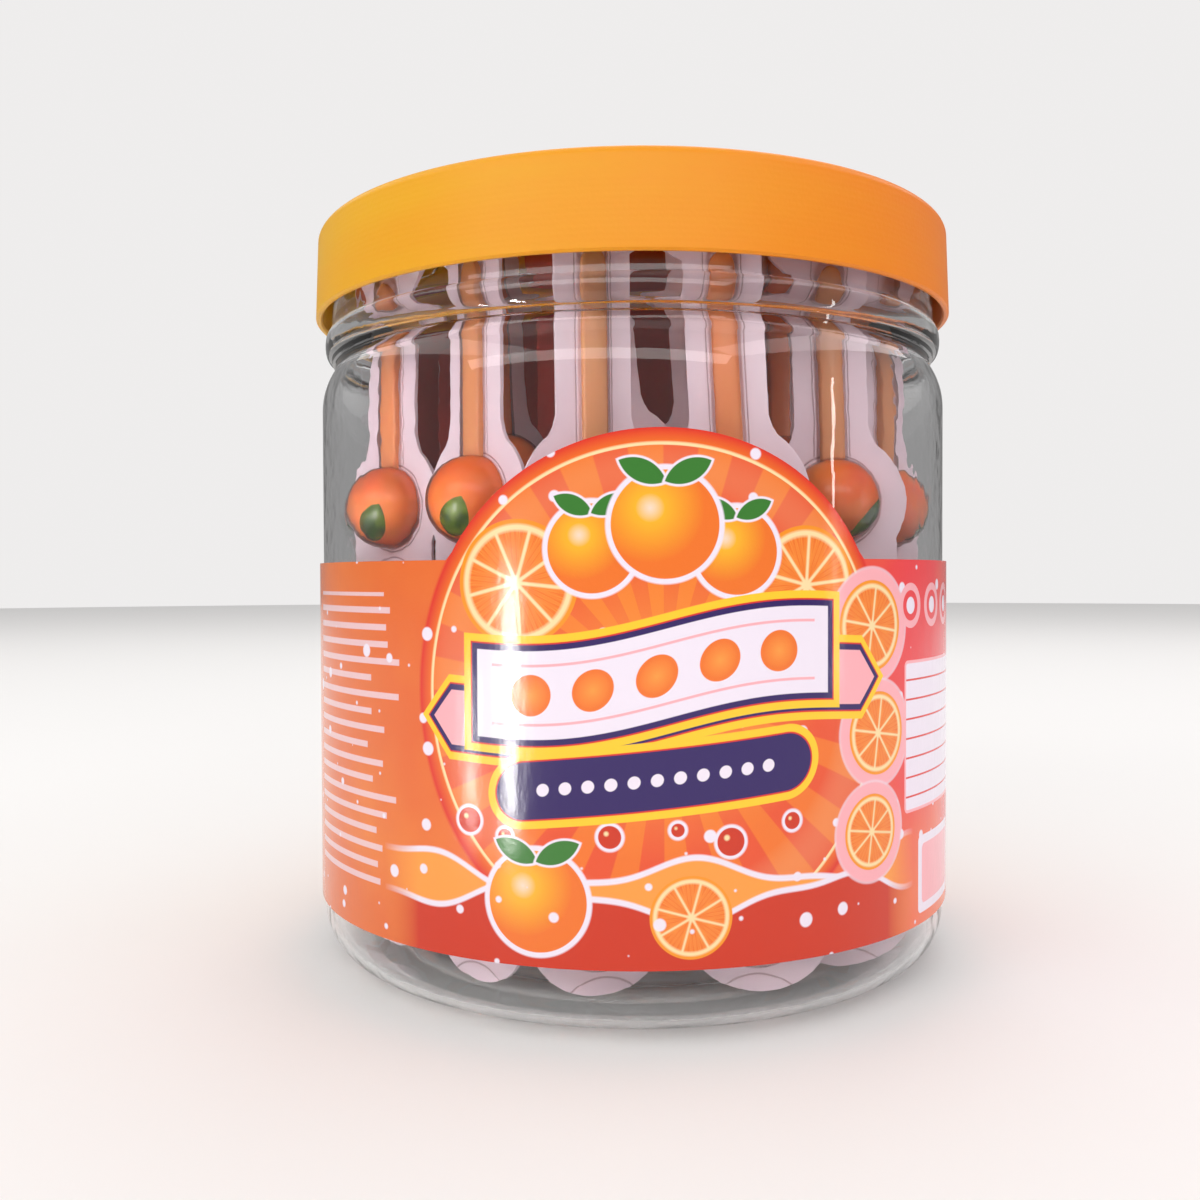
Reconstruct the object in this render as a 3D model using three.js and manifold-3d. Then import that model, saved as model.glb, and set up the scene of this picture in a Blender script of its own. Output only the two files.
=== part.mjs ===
// A shut sweet jar: a clear plastic jar with a screw lid and a wrap-round label, full of gummy sticks.
// Each stick is five jam-filled balls on a flat handle, sealed in a blister on a scalloped card.
// Millimetres, +Z up. The origin is the centre of the foot, and the label's arch faces -Y.
import * as THREE from "three";
import { mergeVertices } from "three/addons/utils/BufferGeometryUtils.js";
import Module from "manifold-3d";

const wasm = await Module();
wasm.setup();

// Driving dimensions of the jar, from the foot up to the mouth.
const JAR_RADIUS = 59;
const JAR_WALL = 1.2;
const BASE_WALL = 1.4;
const FOOT_INNER = 44;
const FOOT_OUTER = 50;
const PUSH_UP = 5;
const SHOULDER_START = 100.6;
const SHOULDER_ARC = 12.9;
const SHOULDER_TURN = 34;
const BEAD_RADIUS = 58.4;
const BEAD_CENTRE = 112.7;
const BEAD_HALF = 2.4;
const NECK_RADIUS = 57.2;
const MOUTH_HEIGHT = 130.2;

// Driving dimensions of the lid: a skirt with a slight draft under a rimmed top.
const LID_LOW_RADIUS = 60.07;
const LID_TOP_RADIUS = 59.58;
const LID_CORNER = 1.5;
const LID_BOTTOM = 117.4;
const LID_TOP = 133;
const LID_WALL = 1.2;
const LID_RIM = 5;
const LID_SINK = 0.7;

// Driving dimensions of the label. Its arch is a circle on the unrolled sheet.
const LABEL_GAP = 0.3;
const LABEL_THICK = 0.45;
const LABEL_BOTTOM = 11.7;
const LABEL_TOP = 72.5;
const ARCH_RADIUS = 39.2;
const ARCH_HEIGHT = 52.5;
const ARCH_AZIMUTH = 4.6;
const LABEL_SEAM = 0.8;

// Driving dimensions of one packed stick.
const BALL_RADIUS = 7.4;
const BALL_PITCH = 16.7;
const BALL_COUNT = 5;
const BALL_BACK = 0.8;
const DOME_SHOULDER = 0.68;
const DOME_RISE = 0.74;
const CARD_THICK = 1;
const CARD_LOBE = 12;
const LOBE_TURN = 32;
const TONGUE_TURN = 64;
const NECK_EASE = 12;
const CARD_WAIST = 10.2;
const CARD_HANDLE = 6.2;
const CARD_HEAD = 10.2;
const CARD_BOTTOM = 3.5;
const CARD_TOP = 124.5;
const LOWEST_BALL = CARD_BOTTOM + CARD_LOBE;
const TOP_BALL = LOWEST_BALL + (BALL_COUNT - 1) * BALL_PITCH;
const SHOULDER_RISE = 12.4;
const HEAD_START = 119.5;
const HEAD_FLARE = 3;
const STICK_RADIUS = 2.6;
const STICK_SINK = 0.3;
const STICK_TOP = 120.5;

// The outer ring of sticks, from the front left round by the right, and the bundle of the others behind it.
const RING_RADIUS = 48.5;
const RING_AZIMUTHS = [-63, -32, -6, 20, 47, 76, 97, 119, 141, 163, 186, 208, 230, 253, 275];
const RING_TURNS = [25, -10, 28, -28, -40, -36, -30, -34, -26, -32, -28, 18, -30, -34, 16];
const BUNDLE_LOW_RADIUS = 46.4;
const BUNDLE_HANDLE_RADIUS = 22;
const BUNDLE_BOTTOM = 7.4;
const BUNDLE_SHOULDER = 88;
const BUNDLE_TAPER = 8;
const BUNDLE_TOP = 129;

// The tops of the second ring of sticks, which show between the outer ones, and how far each leans.
const SECOND_RADIUS = 32.2;
const SECOND_RISE = 5.5;
const SECOND_AZIMUTHS = [-41.7, -3.5, 28, 56, 88, 124, 160, 196, 232, 274];
const SECOND_TURNS = [87.7, 0, -32, -40, -30, 30, -25, 32, -28, -20];
const SECOND_LEANS = [-3.5, -6, -3.5, -1, 1, -1, 1.5, -1.2, 1, 0.8];
const LEAN_PIVOT = 70;

const ROUND_SIDES = 48;
const LABEL_SIDES = 90;
const BALL_SIDES = 7;
const TONGUE_SIDES = 4;
const LOBE_SIDES = 2;
const STICK_SIDES = 4;

const radians = THREE.MathUtils.degToRad;

// Points of an arc in a profile's own plane, with angles in degrees from the first axis.
function arc(centreX, centreY, radius, from, to, steps) {
  const points = [];
  for (let i = 0; i <= steps; i += 1) {
    const angle = radians(from + ((to - from) * i) / steps);
    points.push([centreX + radius * Math.cos(angle), centreY + radius * Math.sin(angle)]);
  }
  return points;
}

// A solid of revolution about Z from a profile of [radius, height] points.
function turned(profile, sides) {
  const points = profile.map(([r, z]) => new THREE.Vector2(r, z));
  return new THREE.LatheGeometry(points, sides).rotateX(Math.PI / 2);
}

function toSolid(geometry) {
  const bare = geometry.clone();
  bare.deleteAttribute("normal");
  bare.deleteAttribute("uv");
  const merged = mergeVertices(bare, 1e-4);
  const solid = new wasm.Mesh({
    numProp: 3,
    vertProperties: new Float32Array(merged.attributes.position.array),
    triVerts: new Uint32Array(merged.index.array),
  });
  return new wasm.Manifold(solid);
}

function toGeometry(solid) {
  const mesh = solid.getMesh();
  const geometry = new THREE.BufferGeometry();
  geometry.setAttribute("position", new THREE.BufferAttribute(mesh.vertProperties, mesh.numProp));
  geometry.setIndex(new THREE.BufferAttribute(mesh.triVerts, 1));
  geometry.computeVertexNormals();
  return geometry;
}

function named(name, geometry, material) {
  const mesh = new THREE.Mesh(geometry, material);
  mesh.name = name;
  return mesh;
}

// The jar stands on a flat ring, and inside it the base steps up in moulded rings.
function jarGeometry() {
  const underside = [
    [0, PUSH_UP],
    [14, PUSH_UP],
    [17, PUSH_UP - 0.8],
    [31, PUSH_UP - 1.2],
    [34, PUSH_UP - 2.2],
    [FOOT_INNER - 2, 1.8],
    [FOOT_INNER, 0],
  ];
  const heel = JAR_RADIUS - FOOT_OUTER;
  const bendCentre = JAR_RADIUS - SHOULDER_ARC;
  const bead = [-90, -35, 0, 35, 90].map((angle) => [
    NECK_RADIUS + (BEAD_RADIUS - NECK_RADIUS) * Math.cos(radians(angle)),
    BEAD_CENTRE + BEAD_HALF * Math.sin(radians(angle)),
  ]);
  const outside = [
    ...arc(FOOT_OUTER, heel, heel, -90, 0, 5),
    ...arc(bendCentre, SHOULDER_START, SHOULDER_ARC, 0, SHOULDER_TURN, 3),
    ...bead,
    [NECK_RADIUS, MOUTH_HEIGHT],
  ];
  const inside = [
    ...arc(bendCentre, SHOULDER_START, SHOULDER_ARC - JAR_WALL, SHOULDER_TURN, 0, 3),
    ...arc(FOOT_OUTER, heel, heel - JAR_WALL, 0, -90, 4),
  ];
  const [mouthRadius] = inside[0];
  const floor = underside.map(([r, z]) => [r, z + BASE_WALL]).reverse();
  return turned([...underside, ...outside, [mouthRadius, MOUTH_HEIGHT], ...inside, ...floor], ROUND_SIDES);
}

// The lid's skirt hangs round the neck, and its top is a shallow disc inside a rim.
function lidGeometry() {
  const rimInner = LID_TOP_RADIUS - LID_CORNER - LID_RIM;
  const ceiling = LID_TOP - LID_SINK - LID_WALL;
  return turned(
    [
      [0, ceiling],
      [LID_TOP_RADIUS - LID_WALL, ceiling],
      [LID_LOW_RADIUS - LID_WALL, LID_BOTTOM],
      [LID_LOW_RADIUS, LID_BOTTOM],
      ...arc(LID_TOP_RADIUS - LID_CORNER, LID_TOP - LID_CORNER, LID_CORNER, 0, 90, 3),
      [rimInner, LID_TOP],
      [rimInner - LID_SINK, LID_TOP - LID_SINK],
      [0, LID_TOP - LID_SINK],
    ],
    ROUND_SIDES,
  );
}

// Height of the label's top edge at a distance along the sheet from the arch's middle.
function labelTop(along) {
  const arch = Math.abs(along) < ARCH_RADIUS ? ARCH_HEIGHT + Math.sqrt(ARCH_RADIUS ** 2 - along ** 2) : 0;
  return Math.max(LABEL_TOP, arch);
}

// The label is a flat sheet with an arched top, wrapped round the jar with its seam behind.
function labelGeometry() {
  const inner = JAR_RADIUS + LABEL_GAP;
  const sheetLength = 2 * Math.PI * inner - LABEL_SEAM;
  const sheet = new THREE.BoxGeometry(sheetLength, 1, LABEL_THICK, LABEL_SIDES, 1, 1);
  const position = sheet.attributes.position;
  for (let i = 0; i < position.count; i += 1) {
    const along = position.getX(i);
    const height = position.getY(i) > 0 ? labelTop(along) : LABEL_BOTTOM;
    const radius = inner + LABEL_THICK / 2 + position.getZ(i);
    const azimuth = along / inner + radians(ARCH_AZIMUTH);
    position.setXYZ(i, radius * Math.sin(azimuth), -radius * Math.cos(azimuth), height);
  }
  return sheet;
}

// Right-hand edge of the card from its round tongue up: a lobe round each ball, the narrow handle, the head.
function cardEdge() {
  const neck = THREE.MathUtils.radToDeg(Math.acos(CARD_HANDLE / CARD_LOBE));
  const edge = arc(0, LOWEST_BALL, CARD_LOBE, -TONGUE_TURN, LOBE_TURN, TONGUE_SIDES);
  for (let ball = 1; ball < BALL_COUNT; ball += 1) {
    const centre = LOWEST_BALL + ball * BALL_PITCH;
    const last = ball === BALL_COUNT - 1;
    edge.push([CARD_WAIST, centre - BALL_PITCH / 2]);
    const end = last ? neck - NECK_EASE : LOBE_TURN;
    edge.push(...arc(0, centre, CARD_LOBE, -LOBE_TURN, end, LOBE_SIDES));
    if (last) edge.push([CARD_HANDLE, centre + SHOULDER_RISE]);
  }
  edge.push([CARD_HANDLE, HEAD_START]);
  edge.push([CARD_HEAD, HEAD_START + HEAD_FLARE]);
  edge.push([CARD_HEAD, CARD_TOP]);
  return edge;
}

// A standing plate in a card's outline, from its right-hand edge and the mirror of it.
function cardPlate(right, thickness) {
  const left = right.map(([x, z]) => [-x, z]).reverse();
  const outline = [...right, ...left].map(([x, z]) => new THREE.Vector2(x, z));
  const plate = new THREE.ExtrudeGeometry(new THREE.Shape(outline), { depth: thickness, bevelEnabled: false });
  return plate.rotateX(Math.PI / 2).translate(0, BALL_BACK + CARD_THICK, 0);
}

// One blistered ball with its middle at the origin. It is flat at the back and faces -Y.
function ballSolid() {
  const back = -(BALL_BACK + CARD_THICK / 2);
  const ball = turned(
    [
      [0, back],
      [BALL_RADIUS, back],
      [BALL_RADIUS, 0],
      [BALL_RADIUS * DOME_SHOULDER, BALL_RADIUS * DOME_RISE],
      [0, BALL_RADIUS],
    ],
    BALL_SIDES,
  ).rotateX(Math.PI / 2);
  return toSolid(ball);
}

// One packed stick, standing: the card behind, five balls on it and a half-round handle above.
function stickSolid() {
  let solid = toSolid(cardPlate([[0, CARD_BOTTOM], ...cardEdge()], CARD_THICK));
  for (let i = 0; i < BALL_COUNT; i += 1) {
    solid = solid.add(ballSolid().translate([0, 0, LOWEST_BALL + i * BALL_PITCH]));
  }
  const half = arc(0, 0, STICK_RADIUS, 180, 360, STICK_SIDES).map(([x, y]) => new THREE.Vector2(x, y));
  const length = STICK_TOP - TOP_BALL;
  const handle = new THREE.ExtrudeGeometry(new THREE.Shape(half), { depth: length, bevelEnabled: false });
  handle.translate(0, BALL_BACK + STICK_SINK, TOP_BALL);
  return solid.add(toSolid(handle));
}

// The top of a stick of the second ring: the highest ball, and the card from there up with its bar.
function stickTopSolid() {
  const upper = cardEdge().filter(([, z]) => z >= TOP_BALL);
  const plate = toSolid(cardPlate(upper, BALL_BACK + CARD_THICK + STICK_RADIUS / 2));
  return plate.add(ballSolid().translate([0, 0, TOP_BALL]));
}

// The heap: a bundle of sticks, with the tops of the second ring and the fifteen outer sticks fused to it.
function candyGeometry() {
  const bundle = turned(
    [
      [0, BUNDLE_BOTTOM],
      [BUNDLE_LOW_RADIUS, BUNDLE_BOTTOM],
      [BUNDLE_LOW_RADIUS, BUNDLE_SHOULDER],
      [BUNDLE_HANDLE_RADIUS, BUNDLE_SHOULDER + BUNDLE_TAPER],
      [BUNDLE_HANDLE_RADIUS, BUNDLE_TOP],
      [0, BUNDLE_TOP],
    ],
    ROUND_SIDES / 2,
  );
  const stick = stickSolid();
  let heap = toSolid(bundle);
  RING_AZIMUTHS.forEach((azimuth, index) => {
    const place = [RING_RADIUS * Math.sin(radians(azimuth)), -RING_RADIUS * Math.cos(radians(azimuth)), 0];
    heap = heap.add(stick.rotate([0, 0, azimuth + RING_TURNS[index]]).translate(place));
  });
  const pivoted = stickTopSolid().translate([0, 0, -LEAN_PIVOT]);
  SECOND_AZIMUTHS.forEach((azimuth, index) => {
    const turn = [0, SECOND_LEANS[index], azimuth + SECOND_TURNS[index]];
    const x = SECOND_RADIUS * Math.sin(radians(azimuth));
    const y = -SECOND_RADIUS * Math.cos(radians(azimuth));
    heap = heap.add(pivoted.rotate(turn).translate([x, y, LEAN_PIVOT + SECOND_RISE]));
  });
  return toGeometry(heap);
}

const clearPlastic = new THREE.MeshStandardMaterial({
  color: 0xe6eaec,
  roughness: 0.08,
  metalness: 0,
  transparent: true,
  opacity: 0.3,
});
const lidPlastic = new THREE.MeshStandardMaterial({ color: 0xf5a523, roughness: 0.45, metalness: 0 });
const printedFilm = new THREE.MeshStandardMaterial({ color: 0xef6436, roughness: 0.3, metalness: 0 });
const gummy = new THREE.MeshStandardMaterial({ color: 0xf07a45, roughness: 0.35, metalness: 0 });

const sweetJar = new THREE.Group();
sweetJar.add(named("jar", jarGeometry(), clearPlastic));
sweetJar.add(named("lid", lidGeometry(), lidPlastic));
sweetJar.add(named("label", labelGeometry(), printedFilm));
sweetJar.add(named("candy_sticks", candyGeometry(), gummy));

export default sweetJar;
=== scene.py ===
import math
import random

import bmesh
import bpy
from mathutils import Matrix, Vector


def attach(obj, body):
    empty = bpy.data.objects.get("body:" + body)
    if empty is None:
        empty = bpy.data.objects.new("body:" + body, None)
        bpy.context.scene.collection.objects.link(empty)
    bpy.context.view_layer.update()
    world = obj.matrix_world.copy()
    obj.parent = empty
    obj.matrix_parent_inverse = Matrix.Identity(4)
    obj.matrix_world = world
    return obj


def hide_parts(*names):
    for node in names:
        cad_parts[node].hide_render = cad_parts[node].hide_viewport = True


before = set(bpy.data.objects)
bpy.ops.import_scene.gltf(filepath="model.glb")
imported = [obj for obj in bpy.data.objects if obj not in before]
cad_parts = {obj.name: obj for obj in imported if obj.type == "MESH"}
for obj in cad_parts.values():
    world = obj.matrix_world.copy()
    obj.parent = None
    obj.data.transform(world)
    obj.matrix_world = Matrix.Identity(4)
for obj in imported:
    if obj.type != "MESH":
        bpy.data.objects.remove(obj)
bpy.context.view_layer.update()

MM = 0.001

# ---------------------------------------------------------------------------------------------
# The viewpoint: a close shot from a little over half-way up the jar, aimed slightly down.
# It looks past the jar's axis by a degree and a half, which puts the jar right of the middle.
# ---------------------------------------------------------------------------------------------
EYE_DISTANCE = 230.1 * MM
EYE_HEIGHT = 69.7 * MM
EYE_TURN = math.radians(1.529)
EYE_DIP = math.radians(-1.095)
EYE_ROLL = math.radians(-0.204)
LENS = 34.92

camera = bpy.data.objects.new("viewpoint", bpy.data.cameras.new("viewpoint"))
camera.data.lens = LENS
camera.data.clip_start = 0.01
camera.matrix_world = (
    Matrix.Translation((0, -EYE_DISTANCE, EYE_HEIGHT))
    @ Matrix.Rotation(EYE_TURN, 4, "Z")
    @ Matrix.Rotation(math.radians(90) + EYE_DIP, 4, "X")
    @ Matrix.Rotation(EYE_ROLL, 4, "Z")
)
bpy.context.scene.collection.objects.link(camera)
bpy.context.scene.camera = camera

# ---------------------------------------------------------------------------------------------
# The studio: a matt pale floor under an even white surround and a wide ceiling, with long soft
# panels high at the front and sides. Low strip lamps close by draw the upright streaks on the jar.
# ---------------------------------------------------------------------------------------------
FLOOR_RADIUS = 3.0
FLOOR_COLOUR = (0.85, 0.85, 0.85, 1)
SURROUND_COLOUR = (1.0, 0.985, 0.98, 1)
SURROUND_STRENGTH = 0.56
BACKDROP_STRENGTH = 0.86
MIRRORED_STRENGTH = 0.3
KEY_COLOUR = (1.0, 0.98, 0.95)
SIDE_COLOUR = (1.0, 0.93, 0.95)
# Each softbox: name, azimuth from the front in degrees, height, distance, width and tallness in
# metres, watts, colour.
SOFTBOXES = [
    ("front_panel", -12, 0.72, 1.15, 2.4, 0.34, 8, KEY_COLOUR),
    ("left_panel", -88, 0.9, 0.9, 2.2, 0.3, 3, KEY_COLOUR),
    ("right_panel", 84, 0.9, 0.9, 2.2, 0.3, 4, SIDE_COLOUR),
    ("back_softbox", 170, 1.1, 0.9, 0.7, 0.7, 2, KEY_COLOUR),
    ("ceiling_softbox", 180, 3.2, 0.6, 4.5, 4.5, 34, KEY_COLOUR),
]
# Each strip lamp: name, azimuth of the streak it draws, azimuth it stands at from there, distance
# from the jar's wall, height of its middle, width and tallness, in mm, and its watts.
STRIPS = [
    ("strip_left", -17.7, -41.3, 150, 35, 8, 70, 0.12),
    ("strip_far_left", -24.1, -56.1, 150, 21, 4, 42, 0.03),
    ("strip_right", 31.8, 73.5, 150, 84, 3.5, 92, 0.012),
]
WALL_RADIUS = 59.4 * MM

bpy.context.scene.view_settings.view_transform = "Standard"


def linked(name, data):
    thing = bpy.data.objects.new(name, data)
    bpy.context.scene.collection.objects.link(thing)
    return thing


def lamp_aimed(name, stand_at, aim_at, width, tallness, watts, colour=KEY_COLOUR):
    """A rectangular soft lamp on a stand, out of sight itself, turned to face a point."""
    lamp = bpy.data.lights.new(name, "AREA")
    lamp.shape = "RECTANGLE"
    lamp.size = width
    lamp.size_y = tallness
    lamp.energy = watts
    lamp.color = colour
    stand = linked(name, lamp)
    stand.location = stand_at
    stand.rotation_euler = (Vector(aim_at) - Vector(stand_at)).to_track_quat("-Z", "Y").to_euler()
    stand.visible_camera = False
    stand.visible_transmission = False
    return stand


def round_the_jar(azimuth, distance, height):
    """A point that far from the jar's axis, with the azimuth in degrees from the front to the right."""
    angle = math.radians(azimuth)
    return Vector((distance * math.sin(angle), -distance * math.cos(angle), height))


for name, azimuth, height, distance, width, tallness, watts, colour in SOFTBOXES:
    stand_at = round_the_jar(azimuth, distance, height)
    lamp_aimed(name, stand_at, (0, 0, EYE_HEIGHT), width, tallness, watts, colour)
for name, streak, azimuth, reach, height, width, tallness, watts in STRIPS:
    on_wall = round_the_jar(streak, WALL_RADIUS, height * MM)
    stand_at = on_wall + round_the_jar(azimuth, reach * MM, 0)
    strip = lamp_aimed(name, stand_at, on_wall, width * MM, tallness * MM, watts)
    strip.visible_diffuse = False


class Signal:
    """One output of a node. Arithmetic on it adds Math nodes, so shader maths reads plainly."""

    def __init__(self, socket):
        self.socket = socket

    def other(self, output):
        """Another output of the same node."""
        return Signal(self.socket.node.outputs[output])

    def maths(self, operation, *others, clamp=False, flipped=False):
        tree = self.socket.id_data
        node = tree.nodes.new("ShaderNodeMath")
        node.operation = operation
        node.use_clamp = clamp
        values = [*others, self] if flipped else [self, *others]
        for value, place in zip(values, node.inputs):
            if isinstance(value, Signal):
                tree.links.new(value.socket, place)
            else:
                place.default_value = value
        return Signal(node.outputs[0])

    def within(self, soft=0.12):
        """A mask of 1 where this distance is below zero, with an edge as wide as soft."""
        return self.maths("MULTIPLY_ADD", -1 / soft, 0.5, clamp=True)

    def __add__(self, other):
        return self.maths("ADD", other)

    def __sub__(self, other):
        return self.maths("SUBTRACT", other)

    def __rsub__(self, other):
        return self.maths("SUBTRACT", other, flipped=True)

    def __mul__(self, other):
        return self.maths("MULTIPLY", other)

    def __truediv__(self, other):
        return self.maths("DIVIDE", other)

    def __abs__(self):
        return self.maths("ABSOLUTE")

    __radd__ = __add__
    __rmul__ = __mul__


surround = bpy.data.worlds.new("surround")
surround.use_nodes = True
backdrop = surround.node_tree.nodes["Background"]
backdrop.inputs["Color"].default_value = SURROUND_COLOUR
ray = surround.node_tree.nodes.new("ShaderNodeLightPath")
seen_directly = Signal(ray.outputs["Is Camera Ray"])
seen_mirrored = Signal(ray.outputs["Is Glossy Ray"])
strength = seen_directly * (BACKDROP_STRENGTH - SURROUND_STRENGTH) + SURROUND_STRENGTH
strength = seen_mirrored * (MIRRORED_STRENGTH - SURROUND_STRENGTH) + strength
surround.node_tree.links.new(strength.socket, backdrop.inputs["Strength"])
bpy.context.scene.world = surround


class Finish:
    """A material being mixed. Its node method adds any node and gives back one of its outputs."""

    def __init__(self, name):
        self.material = bpy.data.materials.new(name)
        self.material.use_nodes = True
        self.tree = self.material.node_tree
        self.tree.nodes.clear()

    def node(self, kind, sockets=None, output=0, **settings):
        node = self.tree.nodes.new(kind)
        for key, value in settings.items():
            setattr(node, key, value)
        for key, value in (sockets or {}).items():
            if isinstance(value, Signal):
                self.tree.links.new(value.socket, node.inputs[key])
            else:
                node.inputs[key].default_value = value
        return Signal(node.outputs[output])

    def blend(self, amount, under, over):
        """Colour over laid on colour under, by an amount from 0 to 1."""
        sockets = {0: amount, 6: under, 7: over}
        return self.node("ShaderNodeMix", sockets, output=2, data_type="RGBA")

    def noise(self, scale, detail=2.0, stretch=(1, 1, 1)):
        """Soft noise from 0 to 1 on the object's own coordinates, in lumps of about 1 / scale metres."""
        place = self.node("ShaderNodeTexCoord", output="Object")
        place = self.node("ShaderNodeMapping", {"Vector": place, "Scale": stretch})
        return self.node("ShaderNodeTexNoise", {"Vector": place, "Scale": scale, "Detail": detail})

    def contrast(self, value, low, high):
        """Spreads the part of a value from low to high over 0 to 1."""
        sockets = {"Value": value, "From Min": low, "From Max": high}
        return self.node("ShaderNodeMapRange", sockets)

    def bump(self, height, depth):
        """A normal from a height of 0 to 1 that stands depth metres deep."""
        return self.node("ShaderNodeBump", {"Height": height, "Distance": depth, "Strength": 1.0})

    def coat_with(self, shader):
        out = self.tree.nodes.new("ShaderNodeOutputMaterial")
        self.tree.links.new(shader.socket, out.inputs["Surface"])
        return self.material

    def principled(self, sockets):
        return self.node("ShaderNodeBsdfPrincipled", sockets)


def shown(red, green, blue):
    """A paint colour given as it looks on a screen, from 0 to 255, as linear light."""
    parts = [c / 255 for c in (red, green, blue)]
    return (*(c / 12.92 if c <= 0.04045 else ((c + 0.055) / 1.055) ** 2.4 for c in parts), 1)


def piece_from(mesh_maker, name, *materials, sharp=40):
    """Turns a bmesh into a shown object at the origin, smooth except along edges over sharp degrees."""
    mesh = bpy.data.meshes.new(name)
    mesh_maker.to_mesh(mesh)
    mesh_maker.free()
    for material in materials:
        mesh.materials.append(material)
    mesh.shade_smooth()
    mesh.set_sharp_from_angle(angle=math.radians(sharp))
    return linked(name, mesh)


floor_finish = Finish("studio_floor")
floor_paint = floor_finish.coat_with(
    floor_finish.principled({"Base Color": FLOOR_COLOUR, "Roughness": 0.9, "Specular IOR Level": 0.2})
)
floor_shape = bmesh.new()
bmesh.ops.create_circle(floor_shape, cap_ends=True, radius=FLOOR_RADIUS, segments=96)
piece_from(floor_shape, "studio_floor", floor_paint)

# ---------------------------------------------------------------------------------------------
# The jar: one blow-moulded shell of clear plastic. It stands on a flat ring round a stepped
# push-up, and its shoulder turns in under a carrying bead to the neck that the lid screws on.
# ---------------------------------------------------------------------------------------------
JAR_RADIUS = 59
JAR_WALL = 1.2
BASE_WALL = 1.4
FOOT_INNER = 44
FOOT_OUTER = 50
PUSH_UP = 5
SHOULDER_START = 100.6
SHOULDER_ARC = 12.9
SHOULDER_TURN = 34
BEAD_RADIUS = 58.4
BEAD_CENTRE = 112.7
BEAD_HALF = 2.4
NECK_RADIUS = 57.2
MOUTH_HEIGHT = 130.2
JAR_STEPS = 192
JAR_TINT = (0.965, 0.97, 0.975, 1)
SHADOW_TINT = (0.97, 0.97, 0.97, 1)


def arc(centre_r, centre_z, radius, start, end, steps):
    """Points of an arc in a turned profile, as [radius, height] in mm, with angles in degrees."""
    angles = [math.radians(start + (end - start) * i / steps) for i in range(steps + 1)]
    return [(centre_r + radius * math.cos(a), centre_z + radius * math.sin(a)) for a in angles]


def turned(profile, steps):
    """Spins a closed profile of (radius, height) points in mm about the upright axis."""
    shape = bmesh.new()
    corners = [shape.verts.new((r * MM, 0, z * MM)) for r, z in profile]
    ring = [shape.edges.new(pair) for pair in zip(corners, corners[1:])]
    if profile[0][0] > 0:
        ring.append(shape.edges.new((corners[-1], corners[0])))
    bmesh.ops.spin(
        shape, geom=corners + ring, axis=(0, 0, 1), angle=math.tau, steps=steps, use_merge=True
    )
    bmesh.ops.remove_doubles(shape, verts=shape.verts, dist=0.01 * MM)
    bmesh.ops.recalc_face_normals(shape, faces=shape.faces)
    return shape


def jar_profile():
    """The wall's section from the middle of the base, up the outside and back down the inside."""
    heel = JAR_RADIUS - FOOT_OUTER
    bend = JAR_RADIUS - SHOULDER_ARC
    underside = [
        (0, PUSH_UP),
        (8, PUSH_UP - 0.1),
        *arc(14, PUSH_UP - 0.8, 0.8, 90, 20, 3),
        (17, PUSH_UP - 1.0),
        (28, PUSH_UP - 1.2),
        *arc(30, PUSH_UP - 2.2, 1.0, 90, 20, 3),
        (34, PUSH_UP - 2.5),
        (FOOT_INNER - 3.5, 2.4),
        (FOOT_INNER - 1.6, 1.5),
        (FOOT_INNER - 0.5, 0.4),
        (FOOT_INNER + 0.4, 0),
    ]
    bead = [
        (
            NECK_RADIUS + (BEAD_RADIUS - NECK_RADIUS) * math.cos(math.radians(angle)) ** 0.7,
            BEAD_CENTRE + BEAD_HALF * math.sin(math.radians(angle)),
        )
        for angle in range(-88, 89, 16)
    ]
    turn_r = bend + SHOULDER_ARC * math.cos(math.radians(SHOULDER_TURN))
    turn_z = SHOULDER_START + SHOULDER_ARC * math.sin(math.radians(SHOULDER_TURN))
    groove = [
        (turn_r - 0.25, turn_z + 0.6),
        (turn_r - 0.1, turn_z + 1.6),
        (NECK_RADIUS - 0.05, BEAD_CENTRE - BEAD_HALF - 0.7),
    ]
    outside = [
        *arc(FOOT_OUTER, heel, heel, -90, 0, 14),
        *arc(bend, SHOULDER_START, SHOULDER_ARC, 0, SHOULDER_TURN, 8),
        *groove,
        *bead,
        (NECK_RADIUS, BEAD_CENTRE + BEAD_HALF + 0.6),
        (NECK_RADIUS, MOUTH_HEIGHT - 0.6),
        (NECK_RADIUS - 0.5, MOUTH_HEIGHT),
    ]
    inside = [
        *arc(bend, SHOULDER_START, SHOULDER_ARC - JAR_WALL, SHOULDER_TURN, 0, 8),
        *arc(FOOT_OUTER, heel, heel - JAR_WALL, 0, -90, 12),
    ]
    mouth = inside[0][0]
    floor = [(r, z + BASE_WALL) for r, z in underside][::-1]
    lip = [(mouth + 0.4, MOUTH_HEIGHT), (mouth, MOUTH_HEIGHT - 0.4)]
    return [*underside, *outside, *lip, *inside, *floor]


def clear_jar_finish():
    """Glossy clear plastic with the faint long ripples of blow moulding. Lamps shine through it."""
    finish = Finish("clear_jar")
    ripple = finish.noise(34, detail=2, stretch=(1, 1, 0.35)) * 0.8
    sparkle = finish.noise(260, detail=1) * 0.2
    wall = finish.principled(
        {
            "Base Color": JAR_TINT,
            "Roughness": 0.015,
            "IOR": 1.52,
            "Transmission Weight": 1.0,
            "Normal": finish.bump(ripple + sparkle, 0.16 * MM),
        }
    )
    lamp_ray = finish.node("ShaderNodeLightPath", output="Is Shadow Ray")
    see_through = finish.node("ShaderNodeBsdfTransparent", {"Color": SHADOW_TINT})
    return finish.coat_with(finish.node("ShaderNodeMixShader", {0: lamp_ray, 1: wall, 2: see_through}))


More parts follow.
